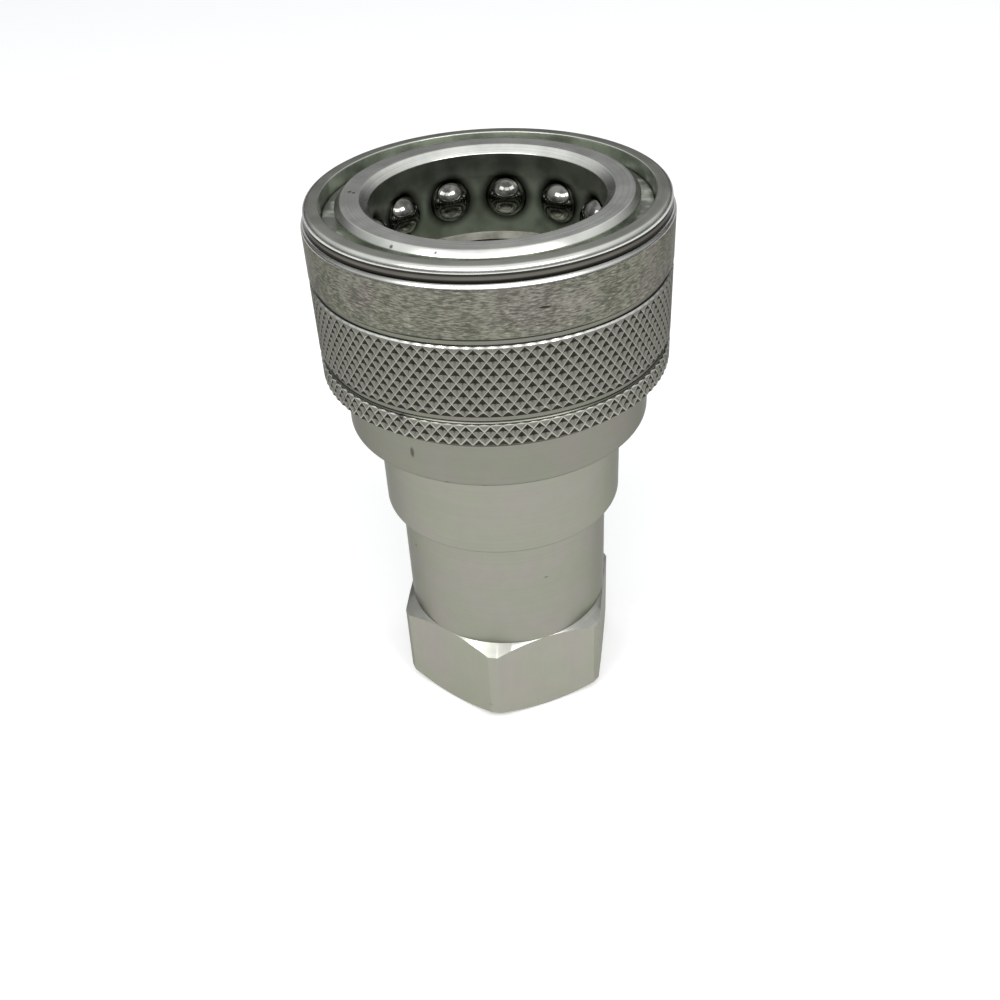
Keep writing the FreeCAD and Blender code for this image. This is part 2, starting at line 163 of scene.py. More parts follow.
class CouplerStageSettings(bpy.types.PropertyGroup):
    """Floor, lamps and camera."""
    floor_size: length("Floor size", "Side of the square floor", 6000.0)
    floor_colour: colour("Floor", "Pale floor", (0.93, 0.93, 0.93))
    camera_place: bpy.props.FloatVectorProperty(
        name="Camera place", description="Where the camera stands", default=(0.0243, -0.1380, 0.1367), size=3,
        subtype="TRANSLATION", unit="LENGTH")
    camera_turn: bpy.props.FloatProperty(
        name="Turn", description="Turn of the camera about the vertical", default=math.radians(10.248),
        subtype="ANGLE")
    camera_tilt: bpy.props.FloatProperty(
        name="Tilt", description="How far the camera looks below the horizon", default=math.radians(36.9),
        subtype="ANGLE")
    camera_roll: bpy.props.FloatProperty(
        name="Roll", description="Roll of the camera", default=math.radians(-3.3), subtype="ANGLE")
    lens: bpy.props.FloatProperty(
        name="Lens", description="Focal length on a 36 mm sensor, in millimetres", default=39.4, min=1.0)


class Value:
    """A socket of a recipe that takes part in Python arithmetic: each expression adds its Math node."""

    def __init__(self, recipe, socket):
        self.recipe = recipe
        self.socket = socket

    def math(self, operation, first, second=0.0, clamp=False):
        return self.recipe.node(
            "ShaderNodeMath", {"operation": operation, "use_clamp": clamp}, {0: first, 1: second})

    def __add__(self, other):
        return self.math("ADD", self, other)

    def __radd__(self, other):
        return self.math("ADD", other, self)

    def __sub__(self, other):
        return self.math("SUBTRACT", self, other)

    def __rsub__(self, other):
        return self.math("SUBTRACT", other, self)

    def __mul__(self, other):
        return self.math("MULTIPLY", self, other)

    def __rmul__(self, other):
        return self.math("MULTIPLY", other, self)

    def __pow__(self, other):
        return self.math("POWER", self, other)

    def held(self):
        """The value kept between 0 and 1."""
        return self.math("ADD", self, 0.0, clamp=True)

    def over(self, low, high):
        """0 at low and below, 1 at high and above, with a smooth step between."""
        return self.recipe.node(
            "ShaderNodeMapRange", {"interpolation_type": "SMOOTHSTEP"},
            {0: self, 1: low, 2: high, 3: 0.0, 4: 1.0})


class Recipe:
    """A material, or the world, under construction."""

    def __init__(self, name, world=False):
        self.owner = (bpy.data.worlds if world else bpy.data.materials).new(name)
        self.owner.use_nodes = True
        self.tree = self.owner.node_tree
        self.tree.nodes.clear()
        self.place = self.node("ShaderNodeTexCoord", output="Generated" if world else "Object")
        self.x = self.node("ShaderNodeSeparateXYZ", sockets={0: self.place}, output=0)
        self.y = self.node("ShaderNodeSeparateXYZ", sockets={0: self.place}, output=1)
        self.z = self.node("ShaderNodeSeparateXYZ", sockets={0: self.place}, output=2)
        self.r = (self.x * self.x + self.y * self.y) ** 0.5

    def node(self, kind, settings=None, sockets=None, output=0):
        """Adds a node: its settings first, then the value or link of each socket. Returns one output."""
        made = self.tree.nodes.new(kind)
        for name, value in (settings or {}).items():
            setattr(made, name, value)
        for name, value in (sockets or {}).items():
            if isinstance(value, Value):
                self.tree.links.new(value.socket, made.inputs[name])
            else:
                made.inputs[name].default_value = value
        return Value(self, made.outputs[output])

    def vector(self, x, y, z):
        return self.node("ShaderNodeCombineXYZ", sockets={0: x, 1: y, 2: z})

    def noise(self, place, scale=1.0, detail=2.0, roughness=0.5):
        return self.node("ShaderNodeTexNoise", sockets={
            "Vector": place, "Scale": scale, "Detail": detail, "Roughness": roughness})

    def blend(self, mask, first, second):
        """A colour that goes from first to second with the mask."""
        first = first if isinstance(first, Value) else (*first, 1.0)
        second = second if isinstance(second, Value) else (*second, 1.0)
        return self.node("ShaderNodeMix", {"data_type": "RGBA"}, {0: mask, 6: first, 7: second}, output=2)

    def turning(self, pitch, swirl=25.0):
        """Lines left by a cutting tool: they run round the axis, closely spaced up walls and across faces."""
        along = (self.z + self.r) * (1.0 / (pitch * MM))
        return self.noise(self.vector(self.x * swirl, self.y * swirl, along), detail=1.0)

    def clouds(self, size, detail=2.0):
        return self.noise(self.place, scale=1.0 / (size * MM), detail=detail)

    def fleck(self, angle, r, z, size, stretch=1.0):
        """A small mark near a point of the surface, wider than high by the stretch."""
        turn = math.radians(angle)
        middle = (r * math.cos(turn) * MM, r * math.sin(turn) * MM, z * MM)
        apart = self.node("ShaderNodeVectorMath", {"operation": "SUBTRACT"}, {0: self.place, 1: middle})
        flat = self.node("ShaderNodeVectorMath", {"operation": "MULTIPLY"}, {0: apart, 1: (1, 1, stretch)})
        far = self.node("ShaderNodeVectorMath", {"operation": "LENGTH"}, {0: flat}, output="Value")
        return 1.0 - far.over(size * MM * 0.45, size * MM)

    def shade_corners(self, shade, rings):
        """The colour given as shade, with rings of painted shade in the corners that run round at the given
        heights and widths.
        """
        for z, wide in rings:
            apart = self.node("ShaderNodeMath", {"operation": "ABSOLUTE"}, {0: self.z - z * MM})
            shade_mask = 1.0 - apart.over(wide * MM * 0.4, wide * MM)
            shade = self.blend(shade_mask * 0.85, shade, (0.02, 0.02, 0.018))
        return shade

    def finish(self, colour, roughness, metallic=1.0, height=None, relief=0.01):
        """Puts the surface together. relief is the depth in millimetres that a height of 1 stands for."""
        sockets = {"Base Color": colour if isinstance(colour, Value) else (*colour, 1.0),
                   "Roughness": roughness, "Metallic": metallic}
        if metallic:
            sockets["Specular Tint"] = (0.5, 0.5, 0.5, 1.0)
        if height is not None:
            sockets["Normal"] = self.node(
                "ShaderNodeBump", sockets={"Strength": 1.0, "Distance": relief * MM, "Height": height})
        return self.cover(self.node("ShaderNodeBsdfPrincipled", sockets=sockets))

    def cover(self, surface, kind="ShaderNodeOutputMaterial"):
        output = self.tree.nodes.new(kind)
        self.tree.links.new(surface.socket, output.inputs["Surface"])
        return self.owner


def tone(tint, share):
    """The tint made darker or lighter."""
    return tuple(min(c * share, 1.0) for c in tint)


def cast(recipe, tint, strength=1.0):
    """The zinc plate's passivation: the tint with faint green and violet patches."""
    green = tuple(c * (1 + k * strength) for c, k in zip(tint, (-0.05, 0.02, -0.07)))
    violet = tuple(c * (1 + k * strength) for c, k in zip(tint, (0.04, -0.02, 0.07)))
    return recipe.blend(recipe.clouds(7.0).over(0.36, 0.64), green, violet)


def turned_plate(name, tint, roughness, marks=(), rings=()):
    """Turned and zinc-plated steel: the passivation's cast, fine tool lines and dull patches."""
    recipe = Recipe(name)
    lines = recipe.turning(0.32)
    dull = recipe.clouds(2.2, detail=4.0)
    worn = recipe.blend((lines * 0.35 + dull * 0.65).over(0.34, 0.66), tone(tint, 0.95), tone(tint, 1.05))
    shade = recipe.blend(0.5, cast(recipe, tint), worn)
    if marks:
        spots = sum(recipe.fleck(*mark) for mark in marks)
        shade = recipe.blend(spots.held() * 0.75, shade, (0.06, 0.06, 0.05))
    # Rings of painted shade in the corners, where given.
    shade = recipe.shade_corners(shade, rings)
    return recipe.finish(shade, (roughness - 0.06) + dull * 0.12, height=lines, relief=0.006)


# The nick in the edge of the narrow knurl: angle, radius, height and size
NICK = (-110.5, 24.6, 61.65, 0.6)


def make_plate(settings):
    return turned_plate("plated_steel_turned", settings.plate, settings.roughness, [
        (-141.3, 16.0, 29.4, 0.3), (-59.0, 16.0, 27.7, 0.4, 3.0)])


def make_collar(settings):
    return turned_plate("plated_steel_collar", settings.collar, settings.roughness, [
        (-112.9, 22.0, 54.2, 0.42, 0.40), (-100.0, 22.0, 50.4, 0.45, 1.8), (-86.3, 22.0, 50.4, 0.35, 2.5)])


def make_tail(settings):
    return turned_plate("plated_steel_tail", settings.tail, settings.roughness)


def make_groove(settings):
    """The smooth rings above and below the wide knurl, with painted shade in their corners."""
    return turned_plate("plated_steel_groove", tone(settings.tail, 0.78), 0.34, [NICK], [
        (73.62, 0.14), (72.96, 0.12), (62.03, 0.16)])


def make_hexagon(settings):
    recipe = Recipe("plated_steel_hexagon")
    tint = tone(settings.plate, 1.15)
    drawn = recipe.noise(recipe.vector(recipe.x * 900.0, recipe.y * 900.0, recipe.z * 120.0), detail=2.0)
    patches = recipe.clouds(4.5, detail=3.0)
    grain = recipe.blend((drawn * 0.3 + patches * 0.7).over(0.36, 0.64), tone(tint, 0.96), tone(tint, 1.06))
    shade = recipe.blend(0.5, cast(recipe, tint), grain)
    marks = recipe.fleck(-70.3, 17.0, 7.06, 0.5, 2.2) + recipe.fleck(-92.3, 17.6, 3.3, 0.6, 1.5)
    shade = recipe.blend(marks.held() * 0.6, shade, (0.09, 0.09, 0.075))
    return recipe.finish(shade, 0.30 + patches * 0.16, height=drawn, relief=0.004)


def make_satin(settings):
    """The tumbled band above the knurl: short level scratches, bright and dark, over broad dull patches."""
    recipe = Recipe("plated_steel_satin")
    tint = settings.satin
    bent = recipe.clouds(1.8, detail=3.0)
    strokes = recipe.noise(recipe.vector(
        recipe.x * 1100.0, recipe.y * 1100.0, recipe.z * 5600.0 + bent * 1.8), detail=2.0, roughness=0.65)
    patches = recipe.clouds(3.2, detail=5.0)
    grain = recipe.blend((strokes * 0.7 + patches * 0.3).over(0.38, 0.62), tone(tint, 0.48), tone(tint, 1.70))
    shade = recipe.blend(0.75, cast(recipe, tint, 2.2), grain)
    glints = strokes.over(0.62, 0.72) * 0.5
    shade = recipe.blend(glints, shade, tone(tint, 2.6))
    scratch = recipe.fleck(-66.0, 24.9, 77.5, 0.95, 4.5)
    shade = recipe.blend(scratch * 0.95, shade, (0.025, 0.024, 0.02))
    return recipe.finish(shade, 0.34 + strokes * 0.12, height=strokes, relief=0.010)


def make_knurl(settings):
    """The knurl: rubbed bright on its ridges, with painted shade on the facets that face down and deep in its
    pits.
    """
    recipe = Recipe("plated_steel_knurl")
    pit_floor = 24.60
    pit_depth = 0.29
    height = (recipe.r - pit_floor * MM) * (1.0 / (pit_depth * MM))
    rub = recipe.clouds(1.2, detail=3.0)
    pit_shade_noise = recipe.clouds(4.0, detail=2.0)
    # Painted shade: facets that face down take the dark tint, facets that face up the knurl's own.
    facing = recipe.node("ShaderNodeNewGeometry", output="Normal")
    up = recipe.node("ShaderNodeSeparateXYZ", sockets={0: facing}, output=2).over(-0.12, 0.14)
    side = recipe.blend(up, settings.knurl_painted_shade, settings.knurl)
    # Painted shade deep in the pits, its edge wavered by noise.
    deep = recipe.blend((height + pit_shade_noise * 0.6).over(0.15, 0.75), tone(settings.knurl_painted_shade, 0.7), side)
    shade = recipe.blend((height + (rub - 0.5) * 0.08).over(0.90, 0.99), deep, settings.ridge)
    shade = recipe.blend(recipe.fleck(*NICK) * 0.9, shade, (0.02, 0.02, 0.02))
    return recipe.finish(shade, 0.32 + rub * 0.10, height=rub, relief=0.01)


def polished(name, tint, roughness, marks=(), rings=()):
    """Faces and chamfers that the tool left bright."""
    # Turned faces, chamfers and the neck: fine tool lines and patches over the given tint.
    recipe = Recipe(name)
    lines = recipe.turning(0.20)
    patches = recipe.clouds(4.0, detail=3.0)
    shade = recipe.blend((lines * 0.4 + patches * 0.6).over(0.35, 0.66), tone(tint, 0.86), tone(tint, 1.06))
    if marks:
        spots = sum(recipe.fleck(*mark) for mark in marks)
        shade = recipe.blend(spots.held() * 0.85, shade, (0.04, 0.04, 0.035))
    # Rings of painted shade in the corners, where given.
    shade = recipe.shade_corners(shade, rings)
    return recipe.finish(shade, roughness + patches * 0.10, height=lines, relief=0.003)


def make_painted_highlight(settings):
    # The pale tint is a painted highlight on up-facing chamfers and edges; the flecks are real marks.
    return polished("plated_steel_painted_highlight", settings.bright, 0.20, [
        (-99.1, 20.0, 82.7, 0.35), (-116.6, 20.1, 82.65, 0.4), (185.9, 18.3, 83.0, 0.35),
        (187.2, 17.7, 83.0, 0.3), NICK])


def make_rim(settings):
    return polished("plated_steel_rim", settings.rim, 0.24)


def make_neck(settings):
    # The neck's dark tint is painted shade, standing in for the dark reflection on its wall; the rings add
    # painted shade under the rim's rounding and at the neck's foot.
    return polished("plated_steel_neck", settings.neck, 0.22, rings=[(82.05, 0.26), (81.22, 0.34)])


def make_bore(settings):
    """The oiled bore: dark and greenish, with patches of oil, painted shade round the balls, and darker
    towards the mouth.
    """
    recipe = Recipe("plated_steel_bore")
    oil = recipe.clouds(5.0, detail=4.0)
    lines = recipe.turning(0.25)
    tint = settings.bore
    shade = recipe.blend(oil.over(0.36, 0.62), tone(tint, 0.75), tone(tint, 1.20))
    sizes = bpy.context.scene.coupler_body
    pitch = ROUND / sizes.ball_count
    turned = recipe.y.math("ARCTAN2", recipe.y, recipe.x)
    along = turned.math("PINGPONG", turned * (1.0 / pitch), 0.5) * (pitch * sizes.bore_radius)
    rise = recipe.z - sizes.ball_height
    far = (along * along + rise * rise) ** 0.5
    # Painted shade in a ring round each ball.
    ball_shade = (1.0 - far.over(2.9 * MM, 4.4 * MM)) * 0.85
    # Darker towards the mouth.
    mouth = recipe.z.over(76.5 * MM, 80.5 * MM) * 0.55
    inside = 1.0 - recipe.r.over(17.0 * MM, 18.0 * MM)
    shade = recipe.blend((ball_shade + mouth).held() * inside, shade, (0.03, 0.03, 0.025))
    return recipe.finish(shade, 0.32 + oil * 0.14, height=lines, relief=0.004)


def make_ball(settings):
    recipe = Recipe("ball_steel_polished")
    smear = recipe.clouds(1.6, detail=4.0)
    shade = recipe.blend(smear.over(0.42, 0.60), settings.ball, tone(settings.ball, 0.42))
    return recipe.finish(shade, 0.07 + smear * 0.06)


def make_wire(settings):
    recipe = Recipe("spring_steel_drawn")
    patches = recipe.clouds(1.5, detail=4.0)
    shade = recipe.blend(patches.over(0.35, 0.7), settings.spring, tone(settings.spring, 0.6))
    return recipe.finish(shade, 0.30 + patches * 0.12, height=patches, relief=0.01)


def make_ring(settings):
    recipe = Recipe("spring_steel_ring")
    patches = recipe.clouds(2.5, detail=4.0)
    shade = recipe.blend(patches.over(0.45, 0.75), settings.ring, tone(settings.ring, 2.6))
    return recipe.finish(shade, 0.30 + patches * 0.12)


def make_rubber(settings):
    recipe = Recipe("seal_rubber_black")
    grain = recipe.clouds(0.4, detail=3.0)
    shade = recipe.blend(grain.over(0.4, 0.7), settings.rubber, tone(settings.rubber, 1.8))
    return recipe.finish(shade, 0.42 + grain * 0.12, metallic=0.0, height=grain, relief=0.01)


def make_plastic(settings):
    recipe = Recipe("backup_plastic_pale")
    patches = recipe.clouds(3.0, detail=4.0)
    shade = recipe.blend(patches.over(0.35, 0.7), settings.plastic, tone(settings.plastic, 0.5))
    return recipe.finish(shade, 0.45 + patches * 0.15, metallic=0.0)


MAKERS = {
    "plate": make_plate, "collar": make_collar, "tail": make_tail, "groove": make_groove,
    "hexagon": make_hexagon, "satin": make_satin, "knurl": make_knurl, "bright": make_painted_highlight,
    "rim": make_rim, "neck": make_neck, "bore": make_bore, "ball": make_ball,
    "wire": make_wire, "ring": make_ring, "rubber": make_rubber, "plastic": make_plastic,
}
made_materials = {}


def material(kind):
    """The material of that kind, made once from the sidebar's colours."""
    if kind not in made_materials:
        made_materials[kind] = MAKERS[kind](bpy.context.scene.coupler_finish)
    return made_materials[kind]


def draw_section(bm, points, closed=True):
    """A section in the XZ plane through (r, z) or (r, z, round) points; round is cut back from the corner."""
    corners = [bm.verts.new((p[0], 0.0, p[1])) for p in points]
    for near, far in zip(corners, corners[1:]):
        bm.edges.new((near, far))
    if closed:
        bm.edges.new((corners[-1], corners[0]))
    for corner, point in zip(corners, points):
        if len(point) > 2:
            bmesh.ops.bevel(
                bm, geom=[corner], offset=point[2], offset_type="OFFSET", segments=5, profile=0.5,
                affect="VERTICES", material=-1)


def turn(bm, steps=256, angle=ROUND):
    """Turns the section in bm about Z."""
    bmesh.ops.spin(
        bm, geom=bm.verts[:] + bm.edges[:], cent=CENTRE, axis=UP, angle=angle, steps=steps,
        use_merge=angle == ROUND)


def close_up(bm):
    """Merges doubles, closes open ends and points the faces outwards."""
    bmesh.ops.remove_doubles(bm, verts=bm.verts[:], dist=0.0005)
    bmesh.ops.holes_fill(bm, edges=[e for e in bm.edges if e.is_boundary], sides=0)
    bmesh.ops.recalc_face_normals(bm, faces=bm.faces[:])


def paint(bm, rule):
    """Gives each face the material that rule(radius, height, normal) names, and returns the kinds used."""
    kinds = []
    for face in bm.faces:
        middle = face.calc_center_median()
        kind = rule(math.hypot(middle.x, middle.y), middle.z, face.normal)
        if kind not in kinds:
            kinds.append(kind)
        face.material_index = kinds.index(kind)
    return kinds


def finish_piece(bm, name, kinds, body, stands_for, sharp=28.0):
    """Turns the finished bmesh into a piece in metres that rides on a body and stands for CAD nodes."""
    bm.transform(Matrix.Scale(MM, 4))
    mesh = bpy.data.meshes.new(name)
    bm.to_mesh(mesh)
    bm.free()
    for kind in kinds:
        mesh.materials.append(material(kind))
    mesh.shade_smooth()
    mesh.set_sharp_from_angle(angle=math.radians(sharp))
    piece = bpy.data.objects.new(name, mesh)
    bpy.context.scene.collection.objects.link(piece)
    shading = piece.modifiers.new("even_shading", "WEIGHTED_NORMAL")
    shading.keep_sharp = True
    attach(piece, body)
    if stands_for:
        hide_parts(*stands_for)
    return piece


def turned_piece(name, section, kinds, body, stands_for, steps=256):
    bm = bmesh.new()
    draw_section(bm, section)
    turn(bm, steps)
    close_up(bm)
    if not isinstance(kinds, list):
        kinds = paint(bm, kinds)
    return finish_piece(bm, name, kinds, body, stands_for)


class COUPLER_OT_hexagon(bpy.types.Operator):
    """Hexagon and barrel in one turned piece, with the pipe thread inside"""
    bl_idname = "coupler.hexagon"
    bl_label = "Hexagon and barrel"

    def execute(self, context):
        size = context.scene.coupler_hexagon
        flat = size.across_flats / MM / 2
        corner = size.corner_radius / MM
        height = size.height / MM
        port = size.port_radius / MM
        foot_cut = 0.5
        drop = (corner - flat) * math.tan(math.radians(33.0))
        rise = (corner - flat + foot_cut) * math.tan(math.radians(30.0))
        neck = 14.5
        screw = 15.12
        seal_floor = 13.5
        seal_bottom = 40.4
        seal_top = 42.5
        bore = 11.4
        spigot_top = 44.4
        mouth = 0.8
        bm = bmesh.new()
        draw_section(bm, [
            (flat - foot_cut, 0.0), (corner, rise), (corner, height - drop), (flat, height), (flat, 25.0),
            (flat, BARREL_TOP, 0.25), (neck, BARREL_TOP), (neck, 36.7), (screw, 37.1), (screw, seal_bottom),
            (seal_floor, seal_bottom), (seal_floor, seal_top), (screw, seal_top), (screw, 43.9),
            (14.62, spigot_top), (bore, spigot_top), (bore, 20.51), (port, 19.0), (port, 10.0),
            (port, mouth), (port + mouth, 0.0)])
        turn(bm, 288)
        bmesh.ops.recalc_face_normals(bm, faces=bm.faces[:])
        for side in range(6):
            normal = Matrix.Rotation(math.radians(60.0 * side), 3, "Z") @ Vector((1, 0, 0))
            bar = [
                f for f in bm.faces
                if f.calc_center_median().z < height and f.calc_center_median().xy.length > flat - 0.45]
            parts = set(bar)
            for face in bar:
                parts.update(face.edges)
                parts.update(face.verts)
            cut = bmesh.ops.bisect_plane(
                bm, geom=list(parts), dist=0.0005, plane_co=normal * flat, plane_no=normal, clear_outer=True)
            edges = [e for e in cut["geom_cut"] if isinstance(e, bmesh.types.BMEdge)]
            rims = [e for e in edges if e.is_valid and e.is_boundary]
            bmesh.ops.edgeloop_fill(bm, edges=rims)
        close_up(bm)
        smallest_flat = 60.0
        flats = [f for f in bm.faces if f.calc_area() > smallest_flat]
        edges = set()
        for face in flats:
            edges.update(e for e in face.edges if e.calc_face_angle(0.0) > 0.2)
        bmesh.ops.bevel(
            bm, geom=list(edges), offset=size.edge / MM, offset_type="OFFSET", segments=2, profile=0.5,
            affect="EDGES", material=-1, clamp_overlap=True)

        def rule(r, z, normal):
            if r < port + 0.9 and (normal.z > -0.5 or r < port + 0.7):
                return "bore"
            if z > 13.0 and 0.3 < normal.z < 0.97:
                return "rim"
            return "hexagon" if z < height - 0.01 else "plate"

        finish_piece(bm, "hexagon_and_barrel", paint(bm, rule), "root", ["adapter"])
        self.cut_thread(size, port)
        return {"FINISHED"}

    def cut_thread(self, size, port):
        pitch = size.thread_pitch / MM
        crest = port - size.thread_depth / MM
        half = pitch * 0.46
        crest_half = 0.13
        sunk = port + 0.1
        steps = 96
        turns = 10
        bm = bmesh.new()
        draw_section(bm, [(sunk, -half), (crest, -crest_half), (crest, crest_half), (sunk, half)])
        bmesh.ops.spin(
            bm, geom=bm.verts[:] + bm.edges[:], cent=CENTRE, axis=UP, dvec=(0, 0, pitch / steps),
            angle=ROUND * turns, steps=steps * turns)
        for height, way in ((0.85, -1), (17.6, 1)):
            bmesh.ops.bisect_plane(
                bm, geom=bm.verts[:] + bm.edges[:] + bm.faces[:], plane_co=(0, 0, height),
                plane_no=(0, 0, way), clear_outer=True)
            bmesh.ops.holes_fill(bm, edges=[e for e in bm.edges if e.is_boundary], sides=0)
        close_up(bm)
        finish_piece(bm, "pipe_thread", ["bore"], "root", [])


class COUPLER_OT_socket(bpy.types.Operator):
    """Band, collar and nose in one turned piece, with the pockets that hold the balls"""
    bl_idname = "coupler.socket"
    bl_label = "Socket body"

    def execute(self, context):
        size = context.scene.coupler_body
        band = size.band_radius / MM
        collar = size.collar_radius / MM
        nose = size.nose_radius / MM
        bore = size.bore_radius / MM
        top = top_of("socket_body")
        wide = bore + size.relief / MM
        screw = 15.14
        collar_bottom = 50.2
        ring_floor = nose - 1.25
        ring_bottom = 79.515
        ring_top = 81.055
        land_bottom = 78.785
        seal_floor = 18.2
        seal_bottom = 65.0
        seal_top = 70.1
        floor = 61.6
        throat = 10.0
        chamber = 13.2
        # The wall behind the balls is drawn in short steps, so that the pockets cut it cleanly.
        wall = [(wide, land_bottom)] + [(wide, 78.2 - 0.6 * step) for step in range(10)] + [(wide, 72.0)]
        section = [
            (screw, BARREL_TOP), (band, BARREL_TOP, 0.35), (band, collar_bottom),
            (collar, collar_bottom, 0.5), (collar, COLLAR_TOP, 0.5), (nose, COLLAR_TOP), (nose, 71.5),
            (nose, ring_bottom),
            (ring_floor, ring_bottom), (ring_floor, ring_top), (nose, ring_top), (nose, top - 0.75, 0.12),
            (nose - 0.75, top, 0.12), (bore + 1.1, top, 0.1), (bore, top - 1.0, 0.1), (bore, land_bottom)]
        section += wall + [
            (wide, seal_top), (seal_floor, seal_top), (seal_floor, seal_bottom), (wide, seal_bottom),
            (wide, floor, 0.5), (throat, floor), (throat, SEAT_TOP), (chamber, 55.4), (chamber, 46.0),
            (screw, 46.0)]
        bm = bmesh.new()
        draw_section(bm, section)
        turn(bm, 288)
        close_up(bm)
        mesh = bpy.data.meshes.new("socket_blank")
        bm.to_mesh(mesh)
        bm.free()
        blank = bpy.data.objects.new("socket_blank", mesh)
        context.scene.collection.objects.link(blank)
        drill = self.make_drill(size)
        context.scene.collection.objects.link(drill)
        pockets = blank.modifiers.new("pockets", "BOOLEAN")
        pockets.operation = "DIFFERENCE"
        pockets.solver = "EXACT"
        pockets.object = drill
        drilled = bpy.data.meshes.new_from_object(blank.evaluated_get(context.evaluated_depsgraph_get()))
        bm = bmesh.new()
        bm.from_mesh(drilled)
        for spare in (blank, drill):
            bpy.data.objects.remove(spare)

        def rule(r, z, normal):
            # Up-facing faces at the nose's top take the pale tint: a painted highlight.
            if z > 81.1 and r > bore + 0.02 and normal.z > 0.2:
                return "bright"
            if r < collar - 1.0 and z > 51.0 or r < 15.2:
                return "bore"
            return "collar" if r > band + 0.1 and z > 50.3 else "plate"

        finish_piece(bm, "socket_shell", paint(bm, rule), "root", ["socket_body"])
        return {"FINISHED"}

    def make_drill(self, size):
        """Round-nosed drills that leave the balls' pockets."""
        room = 0.06
        reach = 4.5
        lying = Matrix.Rotation(math.radians(90.0), 4, "Y")
        bm = bmesh.new()
        bmesh.ops.create_uvsphere(
            bm, u_segments=32, v_segments=24, radius=size.ball_radius / MM + room, matrix=lying)
        outer = [v for v in bm.verts if v.co.x > -0.001]
        bmesh.ops.translate(bm, verts=outer, vec=(reach, 0, 0))
        bmesh.ops.translate(bm, verts=bm.verts[:], vec=(size.ball_centre / MM, 0, size.ball_height / MM))
        count = size.ball_count
        bmesh.ops.spin(
            bm, geom=bm.verts[:] + bm.edges[:] + bm.faces[:], cent=CENTRE, axis=UP,
            angle=ROUND * (count - 1) / count, steps=count - 1, use_duplicate=True)
        mesh = bpy.data.meshes.new("pocket_drill")
        bm.to_mesh(mesh)
        bm.free()
        return bpy.data.objects.new("pocket_drill", mesh)


class COUPLER_OT_balls(bpy.types.Operator):
    """Polished locking balls in the nose"""
    bl_idname = "coupler.balls"
    bl_label = "Locking balls"

    def execute(self, context):
        size = context.scene.coupler_body
        for index in range(size.ball_count):
            turned = Matrix.Rotation(ROUND * index / size.ball_count, 4, "Z")
            place = Matrix.Translation((size.ball_centre / MM, 0, size.ball_height / MM))
            bm = bmesh.new()
            bmesh.ops.create_uvsphere(
                bm, u_segments=48, v_segments=32, radius=size.ball_radius / MM, matrix=turned @ place)
            node = f"lock_ball_{index + 1:02d}"
            finish_piece(bm, f"steel_ball_{index + 1:02d}", ["ball"], node, [node])
        return {"FINISHED"}


